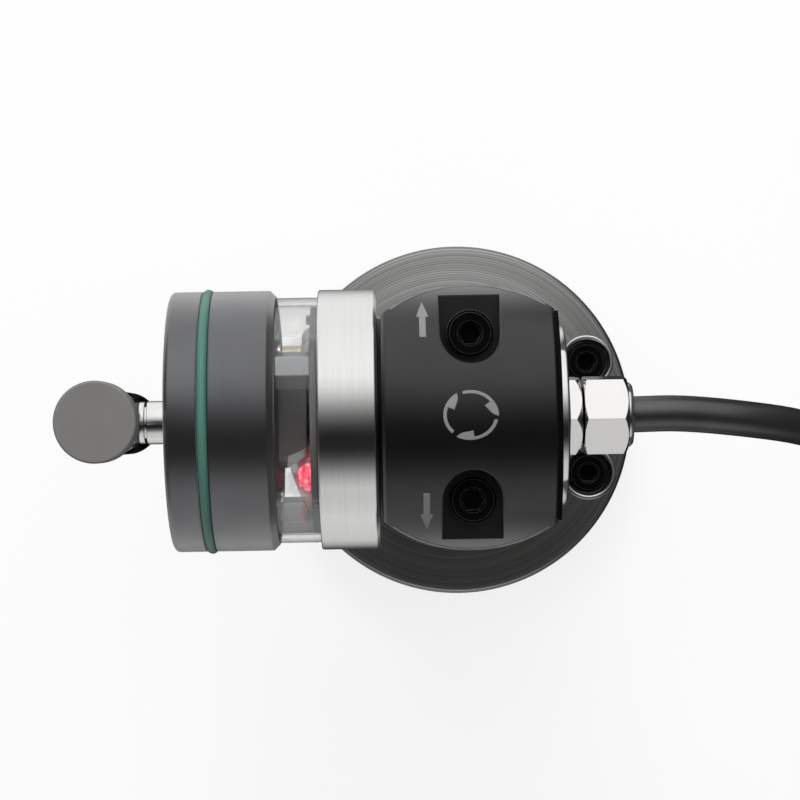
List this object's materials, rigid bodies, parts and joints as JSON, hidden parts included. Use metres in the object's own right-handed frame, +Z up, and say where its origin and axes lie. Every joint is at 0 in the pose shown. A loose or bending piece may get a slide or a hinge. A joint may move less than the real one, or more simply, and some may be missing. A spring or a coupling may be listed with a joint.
{
  "type": "cabled tool setter",
  "caption": "Cabled tool setter for a machine tool: horizontal probe head with round touch disc, lamp window, arched housing, pedestal and round screwed base.",
  "frame": {"origin": "centre of the base's underside, at the mouth of the stud hole", "axes": "+Z up along the pedestal, -X towards the probe head and stylus, +X towards the cable gland"},
  "size_m": [0.2199, 0.09, 0.105],
  "materials": {
    "base_flange": "dark satin anodised",
    "base_screws": "black oxide",
    "column_screws": "black oxide",
    "pedestal": "dark satin anodised",
    "clamp_screws": "black oxide",
    "housing": "dark satin anodised",
    "neck_seal": "matt",
    "clamp_ring": "polished stainless steel",
    "spigot": "machined",
    "window_tube": "clear",
    "window_gaskets": "matt",
    "lamp_board": "solder mask",
    "lamp_lenses": "clear grey",
    "lamp_lit": "lit red",
    "board_chip": "moulded",
    "contact_block": "moulded",
    "contact_strip": "gold plated",
    "pillars": "turned",
    "front_plate": "machined",
    "plate_screws": "bright",
    "guide_bush": "turned",
    "head_shell": "satin",
    "head_oring": "satin green",
    "front_lip": "dark",
    "diaphragm": "matt",
    "plunger": "ground",
    "plunger_clip": "spring steel",
    "plunger_spring": "spring steel",
    "pivot_ball": "polished",
    "stylus_hub": "ground",
    "stem_shield": "satin",
    "stem": "polished stainless steel",
    "stylus_holder": "black oxide",
    "holder_screw": "black oxide",
    "stylus_post": "polished stainless steel",
    "touch_disc": "ground carbide",
    "rear_cap": "polished stainless steel",
    "gland_washer": "matt",
    "gland_body": "nickel plated",
    "gland_nut": "nickel plated",
    "gland_seal": "matt",
    "cable_run": "satin sheath",
    "cable_coil": "satin sheath",
    "cable_tie": "moulded",
    "lead_sleeve": "shrunk sleeve",
    "lead_ends": "insulated leads"
  },
  "bodies": {
    "base": {"base_flange": "base_flange", "base_screws": "base_screws", "column_screws": "column_screws", "pedestal": "pedestal", "clamp_screws": "clamp_screws"},
    "housing": {"housing": "housing", "neck_seal": "neck_seal", "clamp_ring": "clamp_ring", "spigot": "spigot", "window_tube": "window_tube", "window_gaskets": "window_gaskets", "lamp_board": "lamp_board", "lamp_lenses": "lamp_lenses", "lamp_lit": "lamp_lit", "board_chip": "board_chip", "contact_block": "contact_block", "contact_strip": "contact_strip", "pillars": "pillars", "front_plate": "front_plate", "plate_screws": "plate_screws", "guide_bush": "guide_bush", "head_shell": "head_shell", "head_oring": "head_oring", "front_lip": "front_lip", "diaphragm": "diaphragm", "plunger_spring": "plunger_spring", "rear_cap": "rear_cap", "gland_washer": "gland_washer", "gland_body": "gland_body", "gland_nut": "gland_nut", "gland_seal": "gland_seal", "cable_run": "cable_run", "cable_coil": "cable_coil", "cable_tie": "cable_tie", "lead_sleeve": "lead_sleeve", "lead_ends": "lead_ends"},
    "plunger": {"plunger": "plunger", "plunger_clip": "plunger_clip"},
    "pivot": {"pivot_ball": "pivot_ball"},
    "stylus": {"stylus_hub": "stylus_hub", "stem_shield": "stem_shield", "stem": "stem", "stylus_holder": "stylus_holder", "holder_screw": "holder_screw", "stylus_post": "stylus_post", "touch_disc": "touch_disc"}
  },
  "joints": [
    {"name": "housing_swivel", "type": "hinge", "parent": "base", "child": "housing", "pos_m": [0, 0, 0], "axis": [0, 0, 1], "range_deg": [-4, 4]},
    {"name": "plunger_slide", "type": "slide", "parent": "housing", "child": "plunger", "axis": [1, 0, 0], "range_m": [0, 0.002], "stiffness_N_per_m": 2000, "springref_m": -0.002, "deforming": ["plunger_spring", "diaphragm"]},
    {"name": "stylus_yaw", "type": "hinge", "parent": "plunger", "child": "pivot", "pos_m": [-0.0385, 0, 0.07], "axis": [0, 0, 1], "range_deg": [-5, 5], "stiffness_Nm_per_rad": 1, "deforming": ["diaphragm"]},
    {"name": "stylus_pitch", "type": "hinge", "parent": "pivot", "child": "stylus", "pos_m": [-0.0385, 0, 0.07], "axis": [0, 1, 0], "range_deg": [-5, 5], "stiffness_Nm_per_rad": 1, "deforming": ["diaphragm"]}
  ]
}
